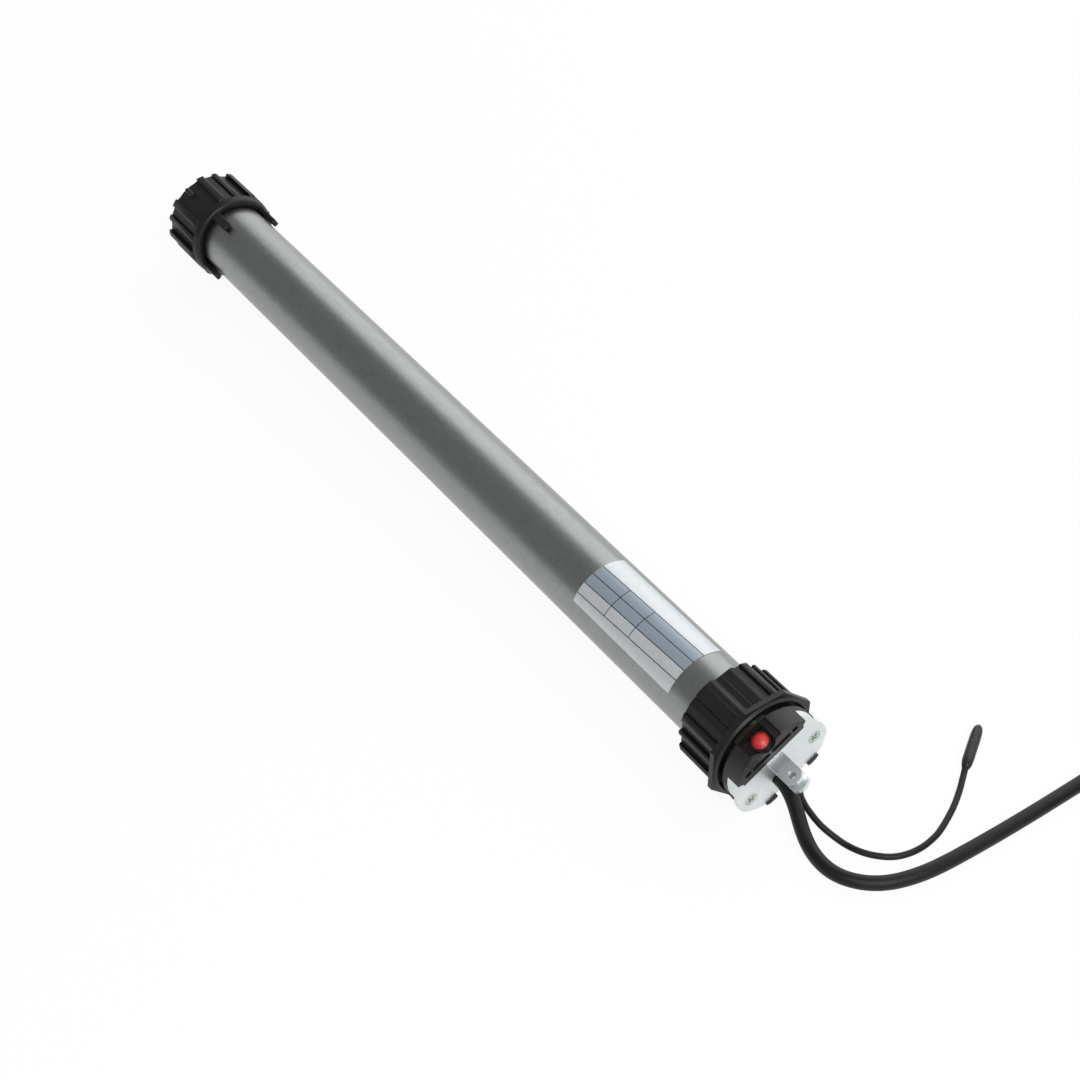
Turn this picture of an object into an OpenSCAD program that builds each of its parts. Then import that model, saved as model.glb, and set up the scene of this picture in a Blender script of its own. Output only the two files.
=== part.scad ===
/* [Tube] */
// Outside diameter of the motor tube
tube_d = 45; // [40:1:50]
// Wall of the motor tube
tube_wall = 1; // [0.8:0.1:1.5]
// Length of the tube from the collar's gear to the far end
tube_len = 540; // [480:10:600]

/* [Roller fit] */
// Across flats of the collar's octagonal flange
flange_af = 62; // [61:0.5:64]
// Across flats of the ribbed collar and of the drive wheel
fit_af = 55.4; // [54:0.2:57]
// Length of the collar behind its flange front
crown_len = 31; // [26:1:36]
// Length of the ribbed part of the drive wheel
wheel_len = 32; // [26:1:38]

/* [Head and bracket] */
// Side of the square drive pin
pin_w = 10; // [9:0.5:12]
// Diameter of the cross hole in the square pin
pin_hole_d = 4.2; // [3:0.2:5]
// Distance from the bracket plate to the cross hole
pin_hole_reach = 14; // [12:0.5:18]
// Length of the pin past the cross hole
pin_past_hole = 5; // [4:0.5:8]
// Thickness of the bracket sheet
sheet_t = 2; // [1.5:0.5:3]
// Radius of the head barrel
head_r = 28; // [27:0.5:29]
// How far the bracket face stands in front of the flange
head_proud = 12; // [10:0.5:15]
// Turn of the head about the tube, towards the near side
head_turn = 28.7; // [0:0.1:45]
// Diameter of the setting button
button_d = 9; // [7:0.5:10]
// Diameter of the bracket screws
screw_d = 4; // [3:0.5:5]

/* [Cords] */
// Diameter of the supply cable
cable_d = 7.8; // [6.5:0.1:8.5]
// Diameter of the antenna lead
lead_d = 3.4; // [2.5:0.1:4]

/* [Gears] */
// Gear module
gm = 0.8; // [0.7:0.1:0.9]
// Teeth of each sun gear
sun_n = 9; // [9:1:12]
// Teeth of each planet gear
planet_n = 18; // [18:1:21]

/* [Hidden] */
$fn = 64;
// along the motor, every x is counted from the centre of the pin's cross hole
plate_x = -pin_hole_reach;
plate_back = plate_x - sheet_t;
fx = plate_x - head_proud;
floor_z = -flange_af/2;
tube_r = tube_d/2;
bore_r = tube_r - tube_wall;
fit_clear = 0.1;
run_clear = 0.06;
tube_x1 = fx - 9;
tube_x0 = tube_x1 - tube_len;
crown_x0 = fx - crown_len;
plug_x0 = fx - 36;
wheel_x0 = tube_x0 - 23;
rib_x1 = wheel_x0 + wheel_len;
cone_x1 = rib_x1 + 10;
finger_x1 = cone_x1 + 12;
// gearbox, counted from its motor side
gear_x1 = tube_x0 + 130;
ring_n = sun_n + 2*planet_n;
gear_c = gm*(sun_n + planet_n)/2;
lash = 0.08;
pa = 25;
tooth_add = 0.8;
tooth_ded = 1;
crown_n = 56;
pinion_n = 14;
pinion_c = gm*(crown_n - pinion_n)/2;
pinion_a = 200;
opening_r = head_r + 0.6;
neck_r = gm*crown_n/2 - gm*tooth_add - 0.46;
plug_r = bore_r - fit_clear;
screw_y = 22.2;
screw_z = -10.6;
// barrel in front of the dark groove, and its top, which stands in front of the bracket
barrel_x0 = fx + 4;
barrel_x1 = plate_x + 4;
groove_r = head_r - 3;
top_z = 12;
ear_a = 33;
tab_x0 = plate_x - 4.4;
tab_r = head_r - 0.2;
tab_t = sheet_t - 0.1;
pocket_z = 19.2;
button_x = plate_x - 2.8;
button_y = 0.3;
button_travel = 1.2;
cap_z = pocket_z + button_travel + 0.1;
stem_x = button_x - 1.5;
stem_r = 1.6;
cell_z = 11;
switch_z = 7.6;
light_x = fx + 2.8;
light_y = 4.2;
pin_wall = 3;
pin_tip = pin_past_hole + 1.2;
cable_y = -4.16;
cable_z = -14.79;
lead_y = 2.41;
lead_z = -16.94;
notch = [cable_y - cable_d/2 - 0.3, lead_y + lead_d/2 + 0.6, cable_z + cable_d/2 + 0.3];
gland_x0 = fx + 1;
gland_z0 = -21.8;
coil_gap = 0.6;
coil_step = cable_d + coil_gap;
coil_r = 60;
coil_turn = 2340;

// shared shapes
module xc(x0, x1, r) translate([x0, 0, 0]) rotate([90, 0, 90]) cylinder(h = x1 - x0, r = r);
module xk(x0, x1, r0, r1) translate([x0, 0, 0]) rotate([90, 0, 90])
    cylinder(h = x1 - x0, r1 = r0, r2 = r1);
module xt(x0, x1, ro, ri) difference() {
    xc(x0, x1, ro);
    xc(x0 - 1, x1 + 1, ri);
}
module xe(x0, x1) translate([x0, 0, 0]) rotate([90, 0, 90]) linear_extrude(x1 - x0) children();
module box(a, b) translate(a) cube(b - a);
module headed() rotate([head_turn, 0, 0]) children();
function ngon(n, r, a = 0) = [for (i = [0:n - 1]) r*[cos(a + 360*i/n), sin(a + 360*i/n)]];
function octa(af, a = 22.5) = ngon(8, af/2/cos(22.5), a);
function sm(t) = let (u = min(1, max(0, t))) u*u*(3 - 2*u);

// involute tooth outlines, with pressure angle pa
function inva(a) = tan(a)*180/PI - a;
function thalf(n, r, s) = let (rp = n*gm/2, rb = rp*cos(pa), q = max(r, rb))
    s/(2*rp)*180/PI + inva(pa) - inva(acos(min(1, rb/q)));
function trad(n, ra, rf) = let (rb = n*gm/2*cos(pa), r0 = max(rb, rf))
    concat(rb > rf ? [rf] : [], [for (k = [0:3]) r0 + (ra - r0)*k/3]);
function gear_pts(n, ra, rf, s, a0) = let (rs = trad(n, ra, rf), m = len(rs))
    [for (t = [0:n - 1], k = [0:2*m - 1])
        let (r = k < m ? rs[k] : rs[2*m - 1 - k], h = thalf(n, r, s), a = a0 + 360*t/n + (k < m ? -h : h))
        r*[cos(a), sin(a)]];
function spur(n, a0) = gear_pts(n, gm*(n/2 + tooth_add), gm*(n/2 - tooth_ded), PI*gm/2 - lash, a0);
function inner(n, a0) = gear_pts(n, gm*(n/2 + tooth_ded), gm*(n/2 - tooth_add), PI*gm/2 + lash, a0);

// cords
function unit(v) = v/norm(v);
function dir(P, i) = unit(P[min(len(P) - 1, i + 1)] - P[max(0, i - 1)]);
module hose(P, r, n) {
    R = is_list(r) ? r : [for (p = P) r];
    V = [for (i = [0:len(P) - 1], k = [0:n - 1])
        let (t = dir(P, i), u = unit(cross([0, 0, 1], t)), v = cross(t, u), a = 360*(k + 0.5)/n)
        P[i] + R[i]*(cos(a)*u + sin(a)*v)];
    m = len(P);
    F = concat([[for (k = [n - 1:-1:0]) k]], [[for (k = [0:n - 1]) (m - 1)*n + k]],
        [for (i = [0:m - 2], k = [0:n - 1])
            [i*n + k, i*n + (k + 1)%n, (i + 1)*n + (k + 1)%n, (i + 1)*n + k]]);
    polyhedron(V, F);
}
module hose_x(P, r, n) {
    m = len(P);
    V = [for (p = P, k = [0:n - 1]) let (q = unit([0, p[1], p[2]]))
        p + r*cos(360*k/n)*q + [r*sin(360*k/n), 0, 0]];
    polyhedron(V, concat([[for (k = [0:n - 1]) k]], [[for (k = [n - 1:-1:0]) (m - 1)*n + k]],
        [for (i = [0:m - 2], k = [0:n - 1])
            [i*n + k, (i + 1)*n + k, (i + 1)*n + (k + 1)%n, i*n + (k + 1)%n]]));
}
function hy(y, z) = y*cos(head_turn) - z*sin(head_turn);
function hz(y, z) = y*sin(head_turn) + z*cos(head_turn);
cz = floor_z + cable_d/2;
lz = floor_z + lead_d/2;
cable_end_y = 182;
cable_route = [[plate_x - 1, hy(cable_y, cable_z), hz(cable_y, cable_z)], [-11.7, 3.32, -15.07],
    [-8.5, 2.96, -15.38], [-5.2, 2.34, -15.9], [-2, 1.5, -16.6], [4, -0.5, -18.6], [9, -2.8, -21],
    [15, -5.1, -23.6], [21, -6.9, -25.5], [28, -8.3, -26.7], [36, -8.3, cz], [46, -5.2, cz], [55, 2, cz],
    [61.5, 12, cz], [65.5, 24.5, cz], [67.9, 38.5, cz], [69.3, 62, cz], [70.2, 90, cz], [70.5, 120, cz],
    [70.5, 150, cz], [70.5, cable_end_y, cz]];
lead_route = [[plate_x - 1, hy(lead_y, lead_z), hz(lead_y, lead_z)], [-11.5, 10.1, -13.9], [-7, 9, -15.3],
    [-3.2, 7.6, -17.4], [0.1, 6.3, -19.3], [4.6, 5.5, -20.9], [8.4, 5.3, -22], [12.6, 5.5, -23.5],
    [16.7, 6.1, -25], [21, 7.4, -26.6], [25, 9, -28.2], [30, 10.8, lz], [36, 13.1, lz], [41, 16.1, lz],
    [45.5, 20.1, lz], [49, 24.5, lz], [51.5, 30, lz], [52.9, 37, lz], [52.8, 45, lz], [50.6, 55, lz],
    [44.2, 69.4, lz], [37.8, 80.2, lz], [31.3, 89.4, lz + 0.2], [28.4, 93.3, lz + 0.8]];
sleeve_route = [[28.4, 93.3, lz + 0.8], [27.5, 95, -28.2], [25.6, 97.8, -27.9], [22.5, 102.6, -27.9],
    [19.3, 107.5, -27.9], [15.6, 113.2, -27.9], [13, 117.2, -27.9], [11.9, 118.9, -27.9]];
sleeve_r = [1.9, 2.7, 3.05, 3.05, 3.05, 3, 2.6, 1.7];

// the stored length spirals in on the floor, climbs half a turn and spirals out again on top
coil_c = [70.5 + coil_r, cable_end_y + cable_d, cz];
function coil_at(f) = let (r = coil_r - coil_step*min(f, coil_turn - f)/360,
    h = coil_step*sm((f - coil_turn/2 + 90)/180), a = 180 - f)
    coil_c + [r*cos(a), r*sin(a), h];
coil_path = concat([[70.5, cable_end_y, cz]], [for (f = [0:15:coil_turn]) coil_at(f)],
    [coil_at(coil_turn) - [0, cable_d, 0]]);
least_gap = min([for (i = [0:1:len(coil_path) - 14], j = [i + 13:1:len(coil_path) - 1])
    norm(coil_path[i] - coil_path[j])]) - cable_d;
echo(least_gap_of_the_coil_mm = least_gap);
core_start = coil_path[len(coil_path) - 1];

// tube
module motor_tube() color("gainsboro") xt(tube_x0, tube_x1, tube_r, bore_r);

label_a = 108;
module rating_label() color("whitesmoke") intersection() {
    xt(tube_x1 - 122, tube_x1 - 40, tube_r + 0.2, tube_r + 0.06);
    rotate([label_a - 90, 0, 0]) box([tube_x0, -17.6, 0], [0, 17.6, 40]);
}

// head, drawn with its own up direction and then turned
function polar(r, a) = r*[cos(a), sin(a)];
function side(P) = concat(P, [for (i = [len(P) - 1:-1:0]) [-P[i][0], P[i][1]]]);
module arc(x0, x1, ro, ri, a0, a1) xe(x0, x1) intersection() {
    difference() {
        circle(r = ro);
        circle(r = ri);
    }
    polygon([[0, 0], polar(60, a0), polar(60, (a0 + a1)/2), polar(60, a1)]);
}
// both side tabs, or the rooms for them
module tabs(x0, x1, ro, ri, over) for (m = [0, 1]) mirror([0, m, 0])
    arc(x0, x1, ro, ri, -12 - over, ear_a + over);
top_half = [[0, top_z], [20.3, top_z], polar(head_r - 2.7, ear_a + 0.8),
    polar(head_r + 5, ear_a + 0.8), [head_r - 1, head_r + 2]];
lip = head_r*[[0.389, -0.889], [0.389, -0.936], [0.446, -0.954], [0.571, -0.943], [0.654, -0.904],
    [0.654, -0.889]];
module barrel_shape() {
    xc(fx - 1.7, barrel_x0 + 0.1, groove_r);
    xc(barrel_x0, plate_back, head_r);
    intersection() {
        xc(plate_back - 0.1, barrel_x1, head_r);
        xe(plate_back - 0.1, barrel_x1) polygon(side(top_half));
    }
    // wall behind the button's pocket, which holds the light
    intersection() {
        xc(fx + 1.5, barrel_x0 + 0.2, head_r - 0.7);
        box([fx, -9.6, 10], [0, 10.5, 30]);
    }
    // lips under the bracket's lower edge
    for (m = [0, 1]) mirror([0, m, 0]) xe(plate_back - 5, plate_x + 1.2) polygon(lip);
    // backing behind the bracket's two wings
    for (s = [-1, 1]) intersection() {
        xc(plate_back - 6, plate_back, head_r + 2.6);
        box([-40, s > 0 ? 20 : -28.6, -23], [0, s > 0 ? 28.6 : -20, -1]);
    }
}
// lowest edge of the pocket, as seen on the front
pocket_lip = [[-9.1, 30], [-9.1, 26], [-5.3, 23.7], [-3.1, 21.7], [-0.7, pocket_z + 0.2], [3, pocket_z + 0.2],
    [4.6, 21], [6.1, 23.6], [10, 23.6], [10, 30]];
module head_body() color("#2b2a2a") headed() difference() {
    union() {
        difference() {
            barrel_shape();
            box([barrel_x0, -9.1, pocket_z], [barrel_x1 - 1.5, 6.1, 30]);
            box([barrel_x0, 6, 23.6], [0, 10, 30]);
            xe(barrel_x1 - 1.6, 0) polygon(pocket_lip);
        }
        // low ring round the button
        translate([button_x, button_y, pocket_z - 0.1]) cylinder(h = 1.8, r = button_d/2 + 1.1);
        xc(tube_x1 + 0.3, fx - 1.5, neck_r);
        xc(tube_x1, tube_x1 + 0.3, bore_r + 0.6);
        xc(plug_x0, tube_x1 + 0.1, plug_r);
    }
    translate([button_x, button_y, pocket_z]) cylinder(h = 20, r = button_d/2 + fit_clear);
    translate([stem_x, button_y, 5]) cylinder(h = 20, r = stem_r + fit_clear);
    box([light_x - 0.75, light_y - 0.65, 5], [light_x + 0.75, light_y + 0.65, 25.3]);
    box([light_x - 0.75, light_y - 1.45, 25.2], [light_x + 0.35, light_y + 1.45, 30]);
    // row of slots in the front, with three bridges
    for (y = [[-17.2, -13.5], [-12.2, -0.9], [0.9, 13.5], [14.9, 18.2]])
        box([barrel_x1 - 2.7, y[0], 15.9], [0, y[1], 18.7]);
    tabs(tab_x0 - fit_clear, 0, 40, tab_r - tab_t - fit_clear, 0.4);
    // way out for the cords, and the room behind
    box([gland_x0 - fit_clear, notch[0] - fit_clear, gland_z0 - fit_clear],
        [0, notch[1] + fit_clear, notch[2]]);
    box([fx - 20, notch[0], -17.5], [gland_x0, notch[1], notch[2]]);
    box([plug_x0 - 1, -12, -12], [fx + 2, 12, cell_z]);
    box([fx + 1.9, -8, -6], [fx + 8.5, 9, cell_z]);
    box([fx + 8.4, button_y - 4.5, 5.5], [plate_back - 0.35, button_y + 4.5, cell_z]);
    // recess for the sensor pinion at the neck
    translate([0, pinion_c*cos(pinion_a), pinion_c*sin(pinion_a)]) {
        xc(fx - 8.2, fx - 3.6, gm*(pinion_n/2 + tooth_add) + 0.5);
        xc(fx - 25, fx - 2.2, 1.5 + run_clear);
        xc(fx - 22.7, fx - 8, 2.75);
        xc(fx - 22, fx - 17, 4.6);
    }
    for (s = [-1, 1]) translate([0, s*screw_y, screw_z]) xc(fx + 1, 0, screw_d/2 + fit_clear);
}

plate_half = [[0, top_z - fit_clear], [20.4, top_z - fit_clear], polar(head_r - 2.7, ear_a),
    polar(tab_r - 0.1, ear_a),
    polar(tab_r - 0.1, 24), polar(tab_r - 0.1, 16), polar(tab_r - 0.1, 8), [tab_r - 0.1, 0], [29.2, -3],
    [30, -8], [29.9, -12.5], [28.5, -16.5], [25.8, -19.6], [22.6, -22.8], [19.2, -24.8], [0, -24.8]];
// outlines of the pin's upper and lower walls
pin_x0 = plate_x - 0.5;
pin_side = pin_w/2;
pin_top = [[pin_x0, -pin_side], [pin_past_hole - 2.8, -pin_side], [pin_past_hole - 0.5, 3.1 - pin_side],
    [pin_past_hole, 3.8 - pin_side], [pin_past_hole, pin_side - 3.3], [pin_past_hole - 0.5, pin_side - 2.7],
    [pin_past_hole - 2.8, pin_side], [pin_x0, pin_side]];
pin_low = [[pin_x0, -pin_side], [pin_tip - 2.2, -pin_side], [pin_tip - 0.8, 1.8 - pin_side],
    [pin_tip, 3.8 - pin_side], [pin_tip, pin_side - 3.8], [pin_tip - 0.8, pin_side - 1.8],
    [pin_tip - 2.2, pin_side], [pin_x0, pin_side]];
module head_bracket() color("silver") headed() difference() {
    union() {
        difference() {
            xe(plate_back, plate_x) polygon(side(plate_half));
            // notch for the cords
            xe(plate_back - 1, plate_x + 1) polygon([[notch[0], -40], [notch[1], -40],
                [notch[1], notch[2] - 2.4], [notch[1] - 2.4, notch[2]],
                [notch[0] + 2, notch[2]], [notch[0], notch[2] - 2]]);
        }
        // square pin: sheet folded to two walls and a back, open on the left
        translate([0, 0, pin_side - pin_wall]) linear_extrude(pin_wall) polygon(pin_top);
        translate([0, 0, -pin_side]) linear_extrude(pin_wall) polygon(pin_low);
        box([pin_x0, pin_hole_d/2 + 0.4, -pin_side + 0.1], [pin_past_hole - 2.8, pin_side, pin_side - 0.1]);
        box([pin_x0, -pin_side, -pin_side + 0.1], [plate_x + 3.5, pin_side, pin_side - 0.1]);
        tabs(tab_x0, plate_x, tab_r, tab_r - tab_t, 0);
    }
    translate([0, 0, -15]) cylinder(h = 30, r = pin_hole_d/2);
    for (s = [-1, 1]) translate([0, s*screw_y, screw_z]) {
        xc(-60, 0, screw_d/2 + 0.25);
        xk(plate_x - 1.6, plate_x + 0.1, screw_d/2 + 0.25, screw_d + 0.15);
    }
}
// countersunk screws, just under the bracket's face
module bracket_screws() color("lightgray") headed() for (s = [-1, 1]) translate([0, s*screw_y, screw_z])
    difference() {
        union() {
            xc(fx + 2, plate_x - 0.1, screw_d/2);
            xk(plate_x - 1.6, plate_x - 0.1, screw_d/2 + 0.1, screw_d - 0.1);
        }
        for (a = [20, 110]) rotate([a, 0, 0]) box([plate_x - 1.2, -2.3, -0.5], [0, 2.3, 0.5]);
    }
module setting_button() color("crimson") headed() {
    translate([button_x, button_y, cap_z]) cylinder(h = 1.1, r = button_d/2);
    translate([button_x, button_y, cap_z + 1]) intersection() {
        translate([0, 0, -2.8]) sphere(r = norm([button_d/2, 2.8]));
        cylinder(h = 10, r = button_d/2);
    }
    // stem down to the switch, with a lug on each side that holds it in
    translate([stem_x, button_y, cell_z - 1.2]) cylinder(h = cap_z - cell_z + 1.3, r = stem_r);
    translate([stem_x, button_y, 0]) box([-0.9, -3.2, cell_z - 1.2], [0.9, 3.2, cell_z - 0.1]);
}
module status_light() color("yellowgreen") headed() {
    box([light_x - 0.7, light_y - 0.6, 6], [light_x + 0.7, light_y + 0.6, 25.28]);
    box([light_x - 0.7, light_y - 1.4, 25.22], [light_x + 0.3, light_y + 1.4, 26.8]);
}
module cable_gland() color("#202020") headed() difference() {
    union() {
        box([gland_x0, notch[0], gland_z0], [plate_back - fit_clear, notch[1], notch[2] - fit_clear]);
        box([plate_back - 0.2, notch[0] + fit_clear, gland_z0 + 1],
            [plate_x + 0.6, notch[1] - fit_clear, notch[2] - 2.6]);
    }
    translate([0, cable_y, cable_z]) xc(plate_x - 1.1, plate_x + 6, cable_d/2 + fit_clear);
    translate([0, lead_y, lead_z]) xc(plate_x - 1.1, plate_x + 6, lead_d/2 + fit_clear);
}

// cords
module power_cable() color("#1c1c1c") hose(cable_route, cable_d/2, 12);
module power_cable_coil() color("#1c1c1c") hose(coil_path, cable_d/2, 6);
module power_cable_cores() for (k = [0:2]) color(["sienna", "royalblue", "yellowgreen"][k])
    translate(core_start) rotate([0, 120*k, 0]) translate([1.55, 0, 0]) rotate([90, 0, 0]) {
        cylinder(h = 26 + 3*k, r = 1.3);
        cylinder(h = 34 + 3*k, r = 0.7);
    }
module antenna_lead() color("#1c1c1c") hose(lead_route, lead_d/2, 8);
module antenna_sleeve() color("#242424") hose(sleeve_route, sleeve_r, 12);

// collar that follows the roller tube, and the drive wheel: ribs left between valleys
// each valley is [angle of its flat, start, end, floor radius at the start, floor radius at the end]
function mid_rib(a) = [[a, -8.8, -1.75, 26, 26], [a, 1.75, 8.8, 26, 26]];
module ribbed(a0, corner_r, valleys, mids) {
    difference() {
        intersection() {
            union() {
                polygon(octa(fit_af, a0 + 22.5));
                for (i = [0:7]) rotate(a0 + 22.5 + 45*i) translate([corner_r - 2.7, 0]) circle(r = 2.7);
            }
            circle(r = corner_r);
        }
        for (v = valleys) rotate(v[0]) polygon([[v[3], v[1]], [40, v[1]], [40, v[2]], [v[4], v[2]]]);
    }
    for (a = mids) rotate(a) translate([26.5, 0]) circle(r = 1.74);
}
// blank that rounds off the ends of the ribs
module blank(x0, x1, r, both) {
    xk(x0, x0 + 0.8, r - 2.1, r - 0.8);
    xk(x0 + 0.8, x0 + 2.3, r - 0.8, r + 0.1);
    xc(x0 + 2.2, both ? x1 - 2.2 : x1, r + 0.1);
    if (both) {
        xk(x1 - 2.3, x1 - 0.8, r + 0.1, r - 0.8);
        xk(x1 - 0.8, x1, r - 0.8, r - 2.1);
    }
}
crown_r = 30.2;
crown_mids = [0, 45, 180, 225];
crown_valleys = concat([for (a = [90, 270]) each [[a, -8.8, -4.5, 26.2, 26.2], [a, 2.1, 8.8, 26.2, 26.2]]],
    [for (a = crown_mids) each mid_rib(a)],
    [for (a = [135, 315]) each [[a, -1.5, -0.9, 26.6, 26.6], [a, 3.5, 8.8, fit_af/2, 26.3]]]);
module crown_ring() color("#302f2f") difference() {
    union() {
        xe(fx - 3, fx) polygon(octa(flange_af));
        xk(fx - 0.1, fx + 1.5, 30.2, 29.3);
        intersection() {
            xe(crown_x0, fx - 2.9) ribbed(0, crown_r, crown_valleys, crown_mids);
            blank(crown_x0, fx - 2.9, crown_r, false);
        }
    }
    xc(fx - 2, fx + 3, opening_r);
    xc(fx - 4, fx - 1, neck_r + 0.7);
    xe(fx - 8.4, fx - 3.9) polygon(inner(crown_n, pinion_a + head_turn + 180/crown_n));
    xc(crown_x0 - 1, fx - 8.3, tube_r + run_clear);
}
module pinion_place() headed() translate([0, pinion_c*cos(pinion_a), pinion_c*sin(pinion_a)]) children();
module sensor_pinion() color("ivory") pinion_place() difference() {
    union() {
        xe(fx - 8, fx - 4) polygon(spur(pinion_n, pinion_a + 180/pinion_n));
        xc(fx - 22.5, fx - 7.9, 2.6);
    }
    xc(fx - 30, fx, 1.5 + run_clear);
}
module sensor_magnet() color("dimgray") pinion_place() xt(fx - 21.6, fx - 17.6, 4.2, 2.65);
module sensor_pin() color("silver") pinion_place() xc(fx - 24.8, fx - 2.4, 1.5);

// electronics
module button_board() color("seagreen") headed() difference() {
    box([fx - 20, -7.6, 4.2], [fx + 8.2, 8.6, 5.6]);
    translate([fx - 16, 0, 0]) cylinder(h = 20, r = 1.2);
}
key_h = cell_z - 1.2 - button_travel - 0.05 - switch_z;
module setting_switch() color("dimgray") headed() translate([stem_x, button_y, 0]) {
    box([-2.4, -3, 5.6], [1.8, 3, switch_z]);
    translate([0, 0, switch_z - 0.1]) cylinder(h = key_h + 0.1, r = 1.3);
}
bx1 = plug_x0 - 3;
bx0 = bx1 - 136;
module control_board() color("seagreen") headed() box([bx0, -18, -5], [bx1, 18, -3.4]);
module board_carrier() color("#3a3a3a") headed() {
    difference() {
        xt(bx0 - 3, bx1 + 2, plug_r, plug_r - 2);
        box([-400, -30, 2], [0, 30, 30]);
    }
    for (s = [-1, 1]) box([bx0 - 3, s > 0 ? 16.5 : -19, -7], [bx1 + 2, s > 0 ? 19 : -16.5, -5]);
    difference() {
        xc(bx0 - 3, bx0 - 1, plug_r - 1.9);
        box([-400, -30, -5], [0, 30, 30]);
        box([-400, -6, -14], [0, 6, 0]);
    }
}
module relays() color("steelblue") headed() for (i = [0, 1])
    box([bx1 - 62 - 24*i, -10, -3.4], [bx1 - 43 - 24*i, 5.5, 12]);
module board_transformer() color("darkkhaki") headed() {
    box([bx0 + 6, -13, -3.4], [bx0 + 33, 13, 0]);
    box([bx0 + 9, -10, -0.1], [bx0 + 30, 10, 14]);
}
module terminal_block() color("darkseagreen") headed() difference() {
    box([bx1 - 12, -14, -3.4], [bx1 - 2, 10, 7]);
    for (i = [0:3]) translate([0, -11 + 6*i, 0]) {
        xc(bx1 - 8, bx1, 1.6);
        translate([bx1 - 7, 0, 0]) cylinder(h = 10, r = 1.8);
    }
}
module radio_module() color("mediumseagreen") headed() {
    box([bx1 - 34, 6, -3.4], [bx1 - 16, 17, -2]);
    box([bx1 - 32, 7.5, -2.1], [bx1 - 20, 15.5, 0.8]);
}
cap_x0 = bx0 - 66;
module run_capacitor() color("lightsteelblue") {
    xc(cap_x0, bx0 - 8, 15);
    for (s = [-1, 1]) box([bx0 - 8.1, s*5 - 0.4, -3], [bx0 - 3.5, s*5 + 0.4, 3]);
}
module capacitor_cradle() color("#3a3a3a") for (x = [cap_x0 + 4, bx0 - 20])
    xt(x, x + 8, plug_r, 15.1);

// motor
mx1 = cap_x0 - 4;
mx0 = gear_x1 + 42;
module rear_shield() color("lightgray") difference() {
    union() {
        xc(mx1 - 5, mx1, plug_r);
        xt(mx1 - 14, mx1 - 4.9, plug_r, plug_r - 1.6);
        xc(mx1 - 15, mx1 - 4.9, 9.5);
    }
    xc(mx1 - 16, mx1 - 3, 7.02);
    xc(mx1 - 16, mx1 + 1, 5);
}
module rear_bearing() color("darkgoldenrod") xt(mx1 - 15, mx1 - 3.5, 7, 4 + run_clear);
module front_shield() color("lightgray") difference() {
    union() {
        xc(mx0, mx0 + 5, plug_r);
        xt(mx0 + 4.9, mx0 + 14, plug_r, plug_r - 1.6);
        xc(mx0 + 4.9, mx0 + 15, 9.5);
    }
    xc(mx0 + 3, mx0 + 16, 7.02);
    xc(mx0 - 1, mx0 + 16, 5);
}
module front_bearing() color("darkgoldenrod") xt(mx0 + 3.5, mx0 + 15, 7, 4 + run_clear);
sx0 = mx0 + 24;
sx1 = mx1 - 24;
slot_n = 6;
slot_ro = plug_r - 3;
slot_ri = 13.4;
module slots2d(g) for (i = [0:slot_n - 1]) rotate(60*i + 30) {
    intersection() {
        difference() {
            circle(r = slot_ro - g);
            circle(r = slot_ri + g);
        }
        polygon([[0, 0], 40*[cos(-20 + 2*g), sin(-20 + 2*g)], 40*[cos(20 - 2*g), sin(20 - 2*g)]]);
    }
}
module stator_core() color("slategray") xe(sx0, sx1) difference() {
    circle(r = plug_r);
    circle(r = 12.3);
    slots2d(0);
    for (i = [0:slot_n - 1]) rotate(60*i + 30) translate([11, -1]) square([4, 2]);
}
module stator_windings() color("peru") {
    xe(sx0 - 0.5, sx1 + 0.5) slots2d(0.15);
    for (x = [sx0 - 8.3, sx1 + 0.3]) translate([x + 4, 0, 0]) rotate([90, 0, 90]) difference() {
        translate([0, 0, -4]) cylinder(h = 8, r = slot_ro - 0.2);
        translate([0, 0, -5]) cylinder(h = 10, r = slot_ri - 0.2);
    }
}
module rotor_core() color("lightslategray") difference() {
    xc(sx0 + 1, sx1 - 1, 11.9);
    xc(sx0, sx1, 4.02);
    for (i = [0:17]) rotate([20*i, 0, 0]) box([sx0, -0.4, 11.3], [sx1, 0.4, 13]);
}
module rotor_shaft() color("silver") {
    xc(gear_x1 + 2.2, mx1 - 4, 4);
    xc(gear_x1 - 10.2, gear_x1 + 2.3, 1.9);
    xt(mx0 + 15.3, sx0 + 0.8, 5.5, 3.9);
}
// brake
kx0 = gear_x1 + 6;
module brake_disc() color("dimgray") {
    xt(kx0 + 7, kx0 + 10, 15, 4.02);
    xt(kx0 + 5, kx0 + 13, 7, 4.02);
}
module brake_plate() color("darkgray") {
    xt(kx0 + 10, kx0 + 11.7, 14, 9);
    xt(kx0 + 11.6, kx0 + 14, 15, 8);
    for (i = [0:2]) rotate([120*i, 0, 0]) box([kx0 + 11.6, -3, 14.5], [kx0 + 14, 3, 17.6]);
}
spring_path = [for (f = [0:22.5:1440]) [kx0 + 14.8 + 16.6*f/1440, 11.5*cos(f), 11.5*sin(f)]];
module brake_spring() color("silver") hose_x(spring_path, 0.7, 6);
module brake_housing() color("lightgray") difference() {
    xc(kx0 - 1.6, mx0 - 0.3, plug_r);
    xc(kx0 + 2, mx0 - 3.6, 16.2);
    xc(kx0 - 3, mx0 + 1, 5.4);
    for (i = [0:2]) rotate([120*i, 0, 0]) box([kx0 + 9, -3.2, 10], [kx0 + 16, 3.2, 18]);
}
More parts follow.
